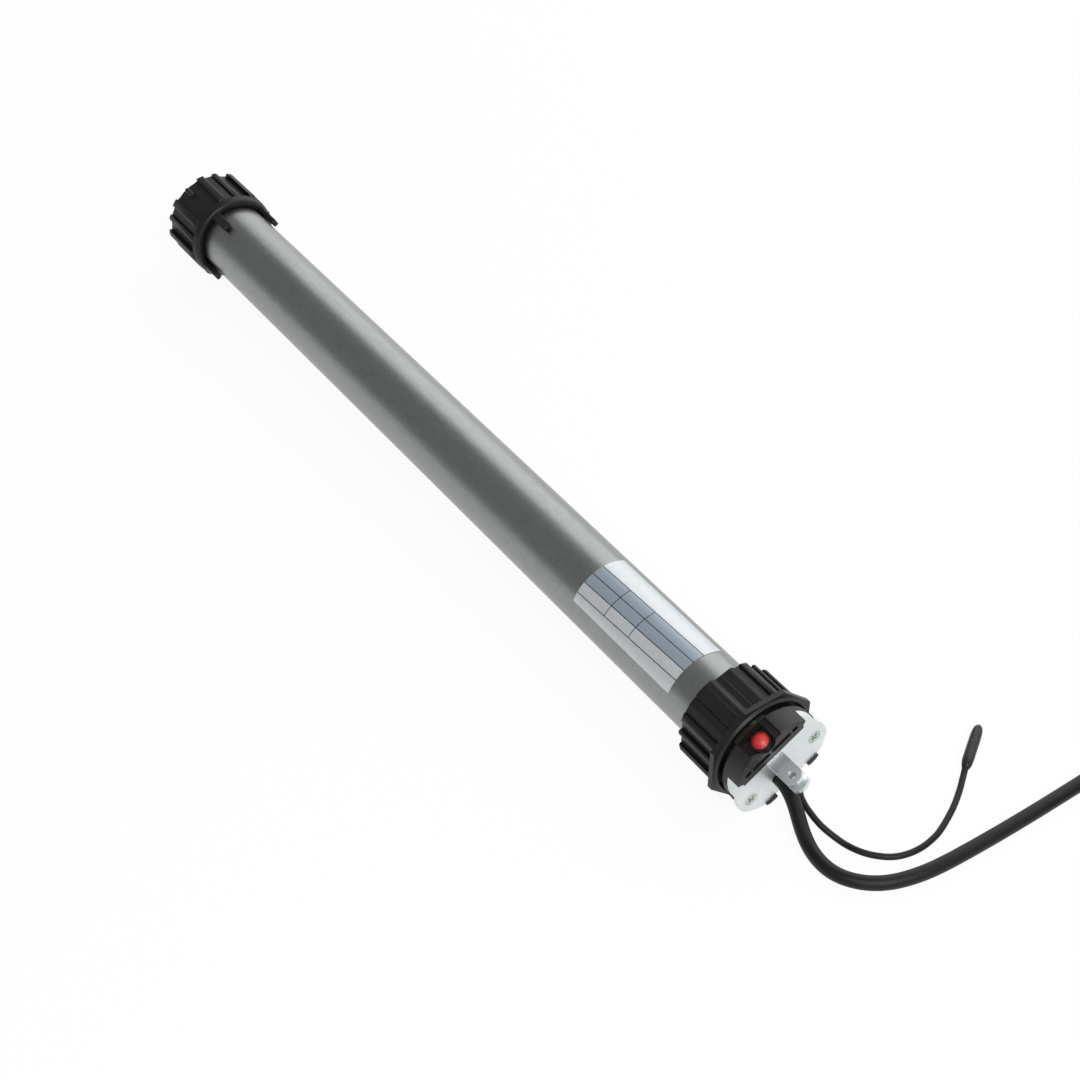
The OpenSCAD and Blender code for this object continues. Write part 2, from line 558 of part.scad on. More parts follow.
// gearbox
s1x = gear_x1;
st_w = [10, 14, 20];
st_x1 = [s1x, s1x - 10 - 8, s1x - 10 - 8 - 14 - 9];
module ring_gear() color("darkgray") xe(st_x1[2] - st_w[2] - 12, gear_x1 + 4.2) difference() {
    polygon(ngon(96, plug_r));
    polygon(inner(ring_n, 180/ring_n));
}
module sun_gear() color("silver") xe(st_x1[0] - st_w[0] - 0.2, st_x1[0] + 2) difference() {
    polygon(spur(sun_n, 0));
    polygon(ngon(24, 1.95));
}
pin_r = [1.6, 2.2, 2.8];
module planet(k, a) color("ivory") xe(st_x1[k] - st_w[k], st_x1[k]) rotate(a) translate([gear_c, 0])
    difference() {
        polygon(spur(planet_n, 180/planet_n));
        polygon(ngon(24, (pin_r[k] + run_clear)/cos(7.5), 7.5));
    }
module planet_1a() planet(0, 0);
module planet_1b() planet(0, 120);
module planet_1c() planet(0, 240);
module planet_2a() planet(1, 0);
module planet_2b() planet(1, 120);
module planet_2c() planet(1, 240);
module planet_3a() planet(2, 0);
module planet_3b() planet(2, 120);
module planet_3c() planet(2, 240);
car_t = [5, 6, 9];
module carrier(k) difference() {
    xe(st_x1[k] - st_w[k] - 0.4 - car_t[k], st_x1[k] - st_w[k] - 0.4) polygon(ngon(48, 16.6));
    for (i = [0:2]) xe(st_x1[k] - st_w[k] - 20, st_x1[k]) rotate(120*i) translate([gear_c, 0])
        polygon(ngon(24, pin_r[k] + 0.02));
}
module planet_pins(k) color("silver") for (i = [0:2])
    xe(st_x1[k] - st_w[k] - car_t[k], st_x1[k] + 0.4) rotate(120*i) translate([gear_c, 0])
        polygon(ngon(24, pin_r[k]));
module carrier_1() color("gray") {
    carrier(0);
    xe(st_x1[1] - st_w[1] + 0.4, st_x1[0] - st_w[0] - 5.3) polygon(spur(sun_n, 0));
}
module carrier_2() color("gray") {
    carrier(1);
    xe(st_x1[2] - st_w[2] + 0.4, st_x1[1] - st_w[1] - 6.3) polygon(spur(sun_n, 0));
}
module carrier_3() color("gray") difference() {
    carrier(2);
    xe(-1000, 0) polygon(shaft_flats(8.02));
}
module planet_pins_1() planet_pins(0);
module planet_pins_2() planet_pins(1);
module planet_pins_3() planet_pins(2);
function shaft_flats(r) = [for (i = [0:5]) r*[cos(60*i), sin(60*i)]];
out_x1 = st_x1[2] - st_w[2] - 0.4;
module output_shaft() color("silver") difference() {
    union() {
        xe(out_x1 - car_t[2], out_x1 - 0.2) polygon(shaft_flats(8));
        xc(tube_x0 - 1, out_x1 - car_t[2], 9);
        xe(wheel_x0, tube_x0 - 0.9) polygon(shaft_flats(8));
    }
    xc(wheel_x0 - 1, wheel_x0 + 16, 2.5);
}
module output_bush() color("#c8a860") difference() {
    union() {
        xc(tube_x0, st_x1[2] - st_w[2] - 12.4, plug_r);
        xc(tube_x0 - 2, tube_x0, tube_r - 0.2);
    }
    xc(tube_x0 - 3, 0, 9 + run_clear);
    xc(tube_x0 + 16, tube_x0 + 42, 11.5);
}
// drive wheel
wheel_a = 119.5;
wheel_r = 29.5;
wheel_mids = [for (k = [0:3]) wheel_a - 45 + 90*k];
wheel_valleys = [for (a = wheel_mids) each mid_rib(a)];
module drive_wheel() color("#2b2a2a") difference() {
    union() {
        intersection() {
            xe(wheel_x0, rib_x1) ribbed(wheel_a - 45, wheel_r, wheel_valleys, wheel_mids);
            blank(wheel_x0, rib_x1, wheel_r, true);
        }
        xk(rib_x1 - 0.1, cone_x1, 28, 24.3);
        for (i = [0:3]) rotate([wheel_a - 2 + 90*i, 0, 0]) intersection() {
            xc(cone_x1 - 2, finger_x1, 25);
            union() {
                box([cone_x1 - 2, 20, -2.8], [finger_x1 - 2.8, 30, 2.8]);
                translate([finger_x1 - 2.8, 20, 0]) rotate([0, 90, 90]) cylinder(h = 10, r = 2.8);
            }
        }
    }
    xc(tube_x0 - 4, finger_x1 + 1, tube_r + 0.9);
    xe(wheel_x0 - 1, tube_x0) polygon(shaft_flats(8.03));
    for (i = [0:7]) rotate([45*i, 0, 0]) box([wheel_x0 - 1, 11.5, -3.6], [tube_x0 - 8, 20.5, 3.6]);
}
module wheel_retainer() color("silver") {
    xc(wheel_x0 - 1.2, wheel_x0, 11);
    xc(wheel_x0 - 3, wheel_x0 - 1.2, 4.5);
    xc(wheel_x0, wheel_x0 + 14, 2.4);
}

motor_tube();
rating_label();
head_body();
head_bracket();
bracket_screws();
setting_button();
status_light();
cable_gland();
power_cable();
power_cable_coil();
power_cable_cores();
antenna_lead();
antenna_sleeve();
crown_ring();
sensor_pinion();
sensor_magnet();
sensor_pin();
button_board();
setting_switch();
control_board();
board_carrier();
relays();
board_transformer();
terminal_block();
radio_module();
run_capacitor();
capacitor_cradle();
rear_shield();
rear_bearing();
stator_core();
stator_windings();
front_shield();
front_bearing();
rotor_core();
rotor_shaft();
brake_disc();
brake_plate();
brake_spring();
brake_housing();
ring_gear();
sun_gear();
planet_1a();
planet_1b();
planet_1c();
carrier_1();
planet_2a();
planet_2b();
planet_2c();
carrier_2();
planet_3a();
planet_3b();
planet_3c();
carrier_3();
planet_pins_1();
planet_pins_2();
planet_pins_3();
output_shaft();
output_bush();
drive_wheel();
wheel_retainer();
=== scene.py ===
import math

import bmesh
import bpy
from mathutils import Matrix, Vector


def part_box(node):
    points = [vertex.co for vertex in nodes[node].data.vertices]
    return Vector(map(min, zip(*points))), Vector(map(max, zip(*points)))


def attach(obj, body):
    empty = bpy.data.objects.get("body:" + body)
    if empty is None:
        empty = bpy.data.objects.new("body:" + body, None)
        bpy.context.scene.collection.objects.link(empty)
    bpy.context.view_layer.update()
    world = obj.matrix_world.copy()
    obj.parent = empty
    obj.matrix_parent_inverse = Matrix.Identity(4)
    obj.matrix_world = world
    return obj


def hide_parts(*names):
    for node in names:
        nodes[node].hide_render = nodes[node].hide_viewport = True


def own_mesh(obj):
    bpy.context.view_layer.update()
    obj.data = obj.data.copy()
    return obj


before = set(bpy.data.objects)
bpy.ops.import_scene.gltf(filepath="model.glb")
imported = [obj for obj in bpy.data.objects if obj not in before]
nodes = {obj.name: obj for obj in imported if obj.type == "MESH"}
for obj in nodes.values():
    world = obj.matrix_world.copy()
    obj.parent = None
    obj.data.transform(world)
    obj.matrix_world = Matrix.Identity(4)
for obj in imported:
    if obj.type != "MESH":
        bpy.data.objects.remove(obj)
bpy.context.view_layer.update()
MM = 0.001

# Camera at the photograph's viewing angle: lens and place in millimetres
LENS = 69.694
SENSOR = 36
CAMERA_AT = (474.377, -489.351, 793.100)
CAMERA_RIGHT = (0.5780087, 0.8160303, -0.0006896)
CAMERA_BACK = (0.5940698, -0.4202105, 0.6859331)

camera_data = bpy.data.cameras.new("photo_camera")
camera_data.lens = LENS
camera_data.sensor_width = SENSOR
camera_data.clip_start = 0.05
camera_data.clip_end = 20
camera = bpy.data.objects.new("photo_camera", camera_data)
bpy.context.collection.objects.link(camera)
right = Vector(CAMERA_RIGHT).normalized()
back = Vector(CAMERA_BACK).normalized()
right = (right - back * right.dot(back)).normalized()
turn = Matrix((right, back.cross(right), back)).transposed()
camera.matrix_world = Matrix.Translation(Vector(CAMERA_AT) * MM) @ turn.to_4x4()
bpy.context.scene.camera = camera


# Shader helpers
def linear(code):
    """A hex sRGB colour as the linear colour that a shader socket takes."""
    parts = [int(code[i:i + 2], 16) / 255 for i in (1, 3, 5)]
    return tuple(c / 12.92 if c <= 0.04045 else ((c + 0.055) / 1.055) ** 2.4
                 for c in parts) + (1.0,)


def node(tree, kind, inputs=None, **settings):
    """Adds a node, sets its properties, and fills or links its inputs."""
    made = tree.nodes.new(kind)
    for key, value in settings.items():
        setattr(made, key, value)
    for key, value in (inputs or {}).items():
        if isinstance(value, bpy.types.NodeSocket):
            tree.links.new(value, made.inputs[key])
        else:
            made.inputs[key].default_value = value
    return made


def material(name):
    """A new material, its tree, its Principled shader and its Object coordinates."""
    made = bpy.data.materials.new(name)
    made.use_nodes = True
    tree = made.node_tree
    shader = tree.nodes["Principled BSDF"]
    place = node(tree, "ShaderNodeTexCoord").outputs["Object"]
    return made, tree, shader, place


def math_node(tree, operation, *values):
    """One Math node on up to three values or sockets."""
    return node(tree, "ShaderNodeMath", dict(enumerate(values)), operation=operation).outputs[0]


def noise(tree, place, scale, detail=3.0, roughness=0.5):
    """Noise over a place, from 0 to 1. A scale of 1000 gives patches about 1 mm across."""
    return node(tree, "ShaderNodeTexNoise", {"Vector": place, "Scale": scale, "Detail": detail,
                                             "Roughness": roughness}).outputs["Fac"]


def stretched(tree, place, scale):
    """A place scaled by a different amount along each axis."""
    return node(tree, "ShaderNodeMapping", {"Vector": place, "Scale": scale}).outputs[0]


def spread(tree, value, low, high, start=0.3, stop=0.7):
    """A value from start to stop moved to the span from low to high."""
    return node(tree, "ShaderNodeMapRange", {"Value": value, "From Min": start, "From Max": stop,
                                             "To Min": low, "To Max": high}).outputs[0]


def blend(tree, amount, first, second):
    """Two colours mixed by an amount."""
    mix = node(tree, "ShaderNodeMix", {"Factor": amount}, data_type="RGBA")
    for key, value in (("A", first), ("B", second)):
        socket = [s for s in mix.inputs if s.name == key and s.type == "RGBA"][0]
        if isinstance(value, bpy.types.NodeSocket):
            tree.links.new(value, socket)
        else:
            socket.default_value = value
    return [s for s in mix.outputs if s.type == "RGBA"][0]


def bump(tree, shader, height, depth, strength=1.0, round_edges=0.0):
    """Gives the shader a bump of a real depth in metres, on rounded edges where asked."""
    ridge = node(tree, "ShaderNodeBump", {"Height": height, "Distance": depth,
                                          "Strength": strength})
    if round_edges:
        soft = node(tree, "ShaderNodeBevel", {"Radius": round_edges}, samples=4)
        tree.links.new(soft.outputs[0], ridge.inputs["Normal"])
    tree.links.new(ridge.outputs[0], shader.inputs["Normal"])


# Finishes: lengths such as depth and edge are in metres
def plastic(name, code, pale, rough, grain=2600.0, depth=0.00002, edge=0.0003, gloss=0.5):
    """Moulded plastic: fine grain, slight cloudiness in colour and sheen."""
    made, tree, shader, place = material(name)
    cloud = noise(tree, place, 60.0, 4.0)
    fine = noise(tree, place, grain, 2.0)
    tint = blend(tree, spread(tree, cloud, 0.0, 1.0), linear(code), linear(pale))
    tree.links.new(tint, shader.inputs["Base Color"])
    tree.links.new(spread(tree, cloud, rough - 0.06, rough + 0.06), shader.inputs["Roughness"])
    shader.inputs["Specular IOR Level"].default_value = gloss
    bump(tree, shader, fine, depth, 0.7, edge)
    return made


def metal(name, code, dull, rough, streaks=(1.0, 1.0, 1.0), scale=900.0, depth=0.000008,
          edge=0.0003, metallic=1.0):
    """Metal with streaks from its making and a slight stain."""
    made, tree, shader, place = material(name)
    cloud = noise(tree, place, 45.0, 5.0, 0.6)
    fine = noise(tree, stretched(tree, place, streaks), scale, 3.0)
    tint = blend(tree, spread(tree, cloud, 0.0, 1.0), linear(code), linear(dull))
    tree.links.new(tint, shader.inputs["Base Color"])
    shader.inputs["Metallic"].default_value = metallic
    tree.links.new(spread(tree, fine, rough - 0.05, rough + 0.05), shader.inputs["Roughness"])
    bump(tree, shader, fine, depth, 0.6, edge)
    return made


def galvanised_sheet():
    """Matte galvanised steel: soft spangle, fine speckle and faint marks along the tube."""
    made, tree, shader, place = material("galvanised_tube")
    spangle = node(tree, "ShaderNodeTexVoronoi",
                   {"Vector": stretched(tree, place, (0.5, 1.0, 1.0)),
                    "Scale": 420.0, "Randomness": 1.0}).outputs["Color"]
    flake = node(tree, "ShaderNodeSeparateColor", {"Color": spangle}).outputs[0]
    drawn = noise(tree, stretched(tree, place, (0.04, 1.0, 1.0)), 700.0, 3.0)
    speckle = noise(tree, place, 2400.0, 2.0)
    tone = math_node(tree, "ADD", math_node(tree, "MULTIPLY", flake, 0.25),
                     math_node(tree, "MULTIPLY", speckle, 0.75))
    tint = blend(tree, spread(tree, tone, 0.0, 1.0, 0.25, 0.8),
                 linear("#8a8d8b"), linear("#969997"))
    tree.links.new(tint, shader.inputs["Base Color"])
    shader.inputs["Metallic"].default_value = 1.0
    tree.links.new(spread(tree, drawn, 0.33, 0.4), shader.inputs["Roughness"])
    bump(tree, shader, speckle, 0.000006, 0.4)
    return made


# The label's ruling: rows in degrees round the tube, cross lines in millimetres along it
ROW_LINES = (90.6, 108.0, 124.3, 141.0)
ROW_LINE_HALF = 0.62
CROSS_LINES = (-134.0, -113.8)
CROSS_LINE_HALF = 0.24
# the film sits a little askew: degrees per millimetre, and how far along it is square
SKEW = 0.086
SKEW_FROM = 115.0


def ruled_label():
    """Silvery white film with plain ruled lines and two tinted rows."""
    made, tree, shader, place = material("ruled_label")
    axes = node(tree, "ShaderNodeSeparateXYZ", {"Vector": place}).outputs
    turn_round = math_node(tree, "ARCTAN2", axes["Z"], axes["Y"])
    along = math_node(tree, "MULTIPLY", axes["X"], 1000.0)
    round_deg = math_node(tree, "MULTIPLY", turn_round, 180.0 / math.pi)

    def line(value, at, half):
        """1 within half of a place along a value."""
        far = math_node(tree, "ABSOLUTE", math_node(tree, "SUBTRACT", value, at))
        return math_node(tree, "LESS_THAN", far, half)

    def band(value, low, high):
        """1 between two places along a value."""
        return line(value, (low + high) / 2, (high - low) / 2)

    def either(values):
        """The highest of several values."""
        top = values[0]
        for value in values[1:]:
            top = math_node(tree, "MAXIMUM", top, value)
        return top

    climb = math_node(tree, "MULTIPLY", math_node(tree, "ADD", along, SKEW_FROM), SKEW)
    level = math_node(tree, "ADD", round_deg, climb)
    long_lines = either([line(level, a, ROW_LINE_HALF) for a in ROW_LINES])
    rows = band(level, ROW_LINES[0], ROW_LINES[-1])
    cross_lines = either([line(along, x, CROSS_LINE_HALF) for x in CROSS_LINES])
    cross_lines = math_node(tree, "MULTIPLY", cross_lines, rows)
    ruled = either([long_lines, cross_lines])
    tinted = band(level, ROW_LINES[0], ROW_LINES[2])
    paper = blend(tree, spread(tree, noise(tree, place, 300.0), 0.0, 1.0),
                  linear("#cdd1d4"), linear("#c3c9cd"))
    paper = blend(tree, tinted, paper, linear("#97a3af"))
    tint = blend(tree, ruled, paper, linear("#14181d"))
    tree.links.new(tint, shader.inputs["Base Color"])
    shader.inputs["Roughness"].default_value = 0.36
    shader.inputs["Metallic"].default_value = 0.35
    bump(tree, shader, noise(tree, place, 900.0), 0.00001, 0.4)
    return made


# satin black nylon: soft broad light on the ribs, deep black between them
black_moulding = plastic("black_moulding", "#100f0e", "#181615", 0.44, gloss=0.38)
# the head's black: a little warmer and paler, so that its steps and slots read
head_moulding = plastic("head_moulding", "#141211", "#1d1a18", 0.44, gloss=0.42)
# rubbery cord sheath: dull black with a soft line of light along it
cord_sheath = plastic("cord_sheath", "#0d0c0c", "#121111", 0.46, grain=1400.0, depth=0.00002,
                      edge=0.0, gloss=0.3)
# smooth red button: the one strong colour, with a small bright spot
red_key = plastic("red_key", "#c63133", "#d03c3c", 0.36, grain=1500.0, depth=0.000005,
                  edge=0.0002)
# green light pipe, unlit: a dim green point beside the button
light_pipe = plastic("light_pipe", "#2f4a2c", "#3c5a36", 0.2, grain=1500.0, depth=0.000004,
                     edge=0.0002)
# bright zinc plating: a pale sheet that mirrors softly
zinc_plate = metal("zinc_plate", "#e6e9ea", "#d3d9db", 0.4, scale=300.0, depth=0.000002,
                   edge=0.0002, metallic=0.8)
# zinc on the screws: darker, a little green, and shinier than the plate round them
zinc_screw = metal("zinc_screw", "#c3c9c2", "#b2b9b3", 0.28, depth=0.000004, edge=0.0002)
# machined steel: grey with fine turned streaks
steel = metal("machined_steel", "#a4a6a8", "#8f9193", 0.34, streaks=(1.0, 8.0, 8.0), scale=300.0)
# die-cast housings: dull pale grey with a coarse skin
die_cast = metal("die_cast", "#b0b2b3", "#9c9e9f", 0.5, scale=1500.0, depth=0.00003)
# stacked sheets of the stator and rotor: dark, with fine rings round the axis
laminated = metal("laminated_steel", "#75777b", "#63656a", 0.45, streaks=(12.0, 1.0, 1.0),
                  scale=160.0, depth=0.00003)
# oil-filled bronze bearings: warm brown, softly worn
bronze = metal("oiled_bronze", "#a57c42", "#8d6836", 0.42)
# enamelled copper wire: red-brown strands lying side by side
copper = metal("enamelled_wire", "#b5653a", "#9c5230", 0.35, streaks=(1.0, 6.0, 6.0),
               scale=500.0, depth=0.00006)
# brake lining and magnet: almost black and quite matte
dark_lining = metal("friction_lining", "#3b3a39", "#2f2e2d", 0.6)
# ivory acetal gears: milky, with a soft sheen
ivory_gear = plastic("ivory_gear", "#d9d0b8", "#e3dbc6", 0.45)
# lacquered circuit board: glossy dark green
lacquered_board = plastic("lacquered_board", "#0f4a2c", "#156038", 0.3)
# relay cases: clean mid blue
blue_case = plastic("blue_case", "#21518c", "#295c9b", 0.4)
# transformer tape: dull yellow
yellow_tape = plastic("yellow_tape", "#b99c3c", "#c9ad4c", 0.38)
# terminal block: plain green moulding
green_block = plastic("green_block", "#2f7342", "#37824c", 0.42)
# capacitor sleeve: pale blue-grey, a little shiny
grey_sleeve = plastic("grey_sleeve", "#a9b3bd", "#b6c0c9", 0.3)

# what isn't listed here is machined steel
FINISH = {
    "motor_tube": galvanised_sheet(), "rating_label": ruled_label(),
    "head_body": head_moulding, "head_bracket": zinc_plate, "bracket_screws": zinc_screw,
    "setting_button": red_key, "status_light": light_pipe, "cable_gland": cord_sheath,
    "antenna_sleeve": cord_sheath, "crown_ring": black_moulding, "drive_wheel": black_moulding,
    "sensor_pinion": ivory_gear, "sensor_magnet": dark_lining, "button_board": lacquered_board,
    "setting_switch": head_moulding, "control_board": lacquered_board,
    "board_carrier": head_moulding, "relays": blue_case, "board_transformer": yellow_tape,
    "terminal_block": green_block, "radio_module": lacquered_board,
    "run_capacitor": grey_sleeve, "capacitor_cradle": head_moulding, "rear_shield": die_cast,
    "front_shield": die_cast, "brake_housing": die_cast, "rear_bearing": bronze,
    "front_bearing": bronze, "output_bush": bronze, "stator_core": laminated,
    "rotor_core": laminated, "stator_windings": copper, "brake_disc": dark_lining,
    "brake_plate": dark_lining, "planet_1a": ivory_gear, "planet_1b": ivory_gear,
    "planet_1c": ivory_gear,
}
for name, cad in nodes.items():
    cad.data.materials.clear()
    cad.data.materials.append(FINISH.get(name, steel))

# Points of a solid that lie closer than this, in metres, are one point
MERGE = 0.000002


# Recut mouldings: the collar's and the wheel's ribs, finer than the solids show them
def new_piece(name, mesh, finish):
    """A new object with a bmesh's faces and one finish; the bmesh is freed."""
    data = bpy.data.meshes.new(name)
    mesh.to_mesh(data)
    mesh.free()
    data.materials.append(finish)
    data.update()
    made = bpy.data.objects.new(name, data)
    bpy.context.collection.objects.link(made)
    return made


def merged_copy(node_name):
    """A node's solid as a bmesh, its doubled points joined."""
    copied = bmesh.new()
    copied.from_mesh(nodes[node_name].data)
    bmesh.ops.remove_doubles(copied, verts=copied.verts, dist=MERGE)
    return copied


def round_off(mesh, edges, radius, segments):
    """Rounds edges to a radius in millimetres."""
    bmesh.ops.bevel(mesh, geom=list(edges), offset=radius * MM, segments=segments, profile=0.5,
                    affect="EDGES", material=-1)


def turned_about_motor(angle_deg):
    """The turn about the motor's axis that takes straight up to an angle from +y."""
    return Matrix.Rotation(math.radians(angle_deg - 90), 3, "X")


def add_prism(mesh, turn_deg, outline, x0, x1):
    """A bar along the motor from x0 to x1, its outline as (radius, sideways) at an angle, in mm."""
    corners = [mesh.verts.new(Vector((x0, -s, r)) * MM) for r, s in outline]
    face = mesh.faces.new(corners)
    pushed = bmesh.ops.extrude_face_region(mesh, geom=[face])["geom"]
    ends = [part for part in pushed if isinstance(part, bmesh.types.BMVert)]
    bmesh.ops.translate(mesh, verts=ends, vec=((x1 - x0) * MM, 0, 0))
    bmesh.ops.rotate(mesh, verts=corners + ends, cent=(0, 0, 0),
                     matrix=turned_about_motor(turn_deg))
    return corners + ends


def recut(node_name, finish, bars):
    """A merged copy of a node, as a bmesh, with bars cut out of it. The bars never meet."""
    cutter_mesh = bmesh.new()
    for turn_deg, outline, x0, x1 in bars:
        add_prism(cutter_mesh, turn_deg, outline, x0, x1)
    bmesh.ops.recalc_face_normals(cutter_mesh, faces=cutter_mesh.faces)
    cutter = new_piece("cutter", cutter_mesh, finish)
    whole = new_piece("whole", merged_copy(node_name), finish)
    cut = whole.modifiers.new("cut", "BOOLEAN")
    cut.operation = "DIFFERENCE"
    cut.solver = "EXACT"
    cut.object = cutter
    bpy.context.view_layer.update()
    result = bmesh.new()
    result.from_mesh(whole.evaluated_get(bpy.context.evaluated_depsgraph_get()).data)
    for used in (cutter, whole):
        bpy.data.objects.remove(used)
    assert result.faces, node_name
    return result


def stand_in(name, mesh, finish, body, node_name):
    """A piece from a bmesh that rides on a body and stands for a node."""
    made = new_piece(name, mesh, finish)
    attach(made, body)
    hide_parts(node_name)
    return made


# Cut outlines as (radius, sideways) in mm; a cut starts this far outside the piece
CUT_OVER = 1

# collar: one sloped valley beside the rib on two opposite flats, stopping short of the flange
COLLAR_FLATS = (90, 270)
COLLAR_VALLEY = [(25.0, 8.8), (25.0, 6.0), (26.15, 3.0), (27.75, -2.6), (32.0, -2.6), (32.0, 8.8)]
COLLAR_FLANGE = 4.45
COLLAR_X0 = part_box("crown_ring")[0][0] / MM - CUT_OVER
COLLAR_X1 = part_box("crown_ring")[1][0] / MM - COLLAR_FLANGE
collar_mesh = recut("crown_ring", black_moulding, [
    (a, COLLAR_VALLEY, COLLAR_X0, COLLAR_X1) for a in COLLAR_FLATS])
stand_in("ribbed_collar", collar_mesh, black_moulding, "crown", "crown_ring")

# wheel: a wide valley on the four flats with a middle rib, half ones on the four between
WHEEL_VALLEY = [(25.0, -8.8), (25.2, -6.0), (26.0, -2.6), (26.0, 2.6), (25.2, 6.0), (25.0, 8.8),
                (32.0, 8.8), (32.0, -8.8)]
WHEEL_HALF_VALLEY = [(25.0, 8.8), (25.2, 6.0), (26.0, 2.6), (32.0, 2.6), (32.0, 8.8)]
WHEEL_X0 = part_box("drive_wheel")[0][0] / MM
RIBS_X1 = WHEEL_X0 + 32
VALLEY_END = RIBS_X1 - 0.05
FLATS = [119.5 + 90 * k for k in range(4)]
wheel_mesh = recut("drive_wheel", black_moulding, [
    (a, WHEEL_VALLEY, WHEEL_X0 - CUT_OVER, VALLEY_END) for a in FLATS] + [
    (a + 45, [(r, s * side) for r, s in WHEEL_HALF_VALLEY], WHEEL_X0 - CUT_OVER, VALLEY_END)
    for a in FLATS for side in (-1, 1)])

# the real wheel ends in a flat ring round the tube, just past its ribs
RING_LENGTH = 4
ring_cut = bmesh.ops.bisect_plane(
    wheel_mesh, geom=wheel_mesh.verts[:] + wheel_mesh.edges[:] + wheel_mesh.faces[:],
    dist=0.0000005, plane_co=((RIBS_X1 + RING_LENGTH) * MM, 0, 0), plane_no=(1, 0, 0),
    clear_outer=True)["geom_cut"]
bmesh.ops.bridge_loops(wheel_mesh, edges=[part for part in ring_cut
                                          if isinstance(part, bmesh.types.BMEdge)])

# what lies outside the ribs' foot moves outwards, so the ribs stand as tall as the real ones
RIB_FOOT = 24.9
RIB_PUSH = 0.9
for vert in wheel_mesh.verts:
    radius = math.hypot(vert.co.y, vert.co.z)
    if radius > RIB_FOOT * MM:
        vert.co.yz = vert.co.yz * (1 + RIB_PUSH * MM / radius)

# round middle ribs, and the fingers that reach over the tube, in millimetres
RIB_R = 1.74
RIB_AT = 27.3
RIB_START = 0.9
RIB_SHORT = 9.0
RIB_LONG = 30.5
FINGER = [(23.6, -2.8), (26.9, -2.8), (26.9, 2.8), (23.6, 2.8)]
FINGER_X0 = RIBS_X1 + 3
FINGER_X1 = RIBS_X1 + 19.5
for k, a in enumerate(FLATS):
    # the rib in the middle of each flat; the first flat's is short
    rib_length = RIB_SHORT if k == 0 else RIB_LONG
    rib = bmesh.ops.create_cone(wheel_mesh, cap_ends=True, segments=20, radius1=RIB_R * MM,
                                radius2=RIB_R * MM, depth=rib_length * MM)["verts"]
    bmesh.ops.rotate(wheel_mesh, verts=rib, cent=(0, 0, 0),
                     matrix=Matrix.Rotation(math.pi / 2, 3, "Y"))
    bmesh.ops.translate(wheel_mesh, verts=rib,
                        vec=((WHEEL_X0 + RIB_START + rib_length / 2) * MM, 0, RIB_AT * MM))
    bmesh.ops.rotate(wheel_mesh, verts=rib, cent=(0, 0, 0), matrix=turned_about_motor(a))
    rib_ends = {edge for vert in rib for edge in vert.link_edges
                if any(len(face.verts) > 4 for face in edge.link_faces)}
    round_off(wheel_mesh, rib_ends, 0.8, 3)
    finger = add_prism(wheel_mesh, a - 2, FINGER, FINGER_X0, FINGER_X1)
    round_off(wheel_mesh, {edge for vert in finger for edge in vert.link_edges}, 0.7, 2)
stand_in("ribbed_wheel", wheel_mesh, black_moulding, "drive", "drive_wheel")

# the brake's spring: a piece of its own on the motor's body, with its own copy of the mesh
coil_spring = stand_in("coil_spring", merged_copy("brake_spring"), steel, "motor",
                       "brake_spring")
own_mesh(coil_spring)

# Cords, on the points that the solids follow, in millimetres
HEAD_TURN = 28.7


def head_point(x, side, up):
    """A point given in the head's own turned directions."""
    a = math.radians(HEAD_TURN)
    return (x, side * math.cos(a) - up * math.sin(a), side * math.sin(a) + up * math.cos(a))


CABLE_D = 7.8
LEAD_D = 3.4
FLOOR = -31.0
CABLE_Z = FLOOR + CABLE_D / 2
LEAD_Z = FLOOR + LEAD_D / 2
# the cable runs straight to its coil at this x, and meets it at this y
CABLE_END_X = 70.5
CABLE_END_Y = 182.0
CABLE = [head_point(-15, -4.16, -14.79), (-11.7, 3.32, -15.07), (-8.5, 2.96, -15.38),
         (-5.2, 2.34, -15.9), (-2, 1.5, -16.6), (4, -0.5, -18.6), (9, -2.8, -21),
         (15, -5.1, -23.6), (21, -6.9, -25.5), (28, -8.3, -26.7), (36, -8.3, CABLE_Z),
         (46, -5.2, CABLE_Z), (55, 2, CABLE_Z), (61.5, 12, CABLE_Z), (65.5, 24.5, CABLE_Z),
         (67.9, 38.5, CABLE_Z), (69.3, 62, CABLE_Z), (70.2, 90, CABLE_Z),
         (CABLE_END_X, 120, CABLE_Z), (CABLE_END_X, 150, CABLE_Z),
         (CABLE_END_X, CABLE_END_Y, CABLE_Z)]
LEAD = [head_point(-15, 2.41, -16.94), (-11.5, 10.1, -13.9), (-7, 9, -15.3), (-3.2, 7.6, -17.4),
        (0.1, 6.3, -19.3), (4.6, 5.5, -20.9), (8.4, 5.3, -22), (12.6, 5.5, -23.5),
        (16.7, 6.1, -25), (21, 7.4, -26.6), (25, 9, -28.2), (30, 10.8, LEAD_Z),
        (36, 13.1, LEAD_Z), (41, 16.1, LEAD_Z), (45.5, 20.1, LEAD_Z), (49, 24.5, LEAD_Z),
        (51.5, 30, LEAD_Z), (52.9, 37, LEAD_Z), (52.8, 45, LEAD_Z), (50.6, 55, LEAD_Z),
        (44.2, 69.4, LEAD_Z), (37.8, 80.2, LEAD_Z), (31.3, 89.4, LEAD_Z + 0.2),
        (28.4, 93.3, LEAD_Z + 0.8)]
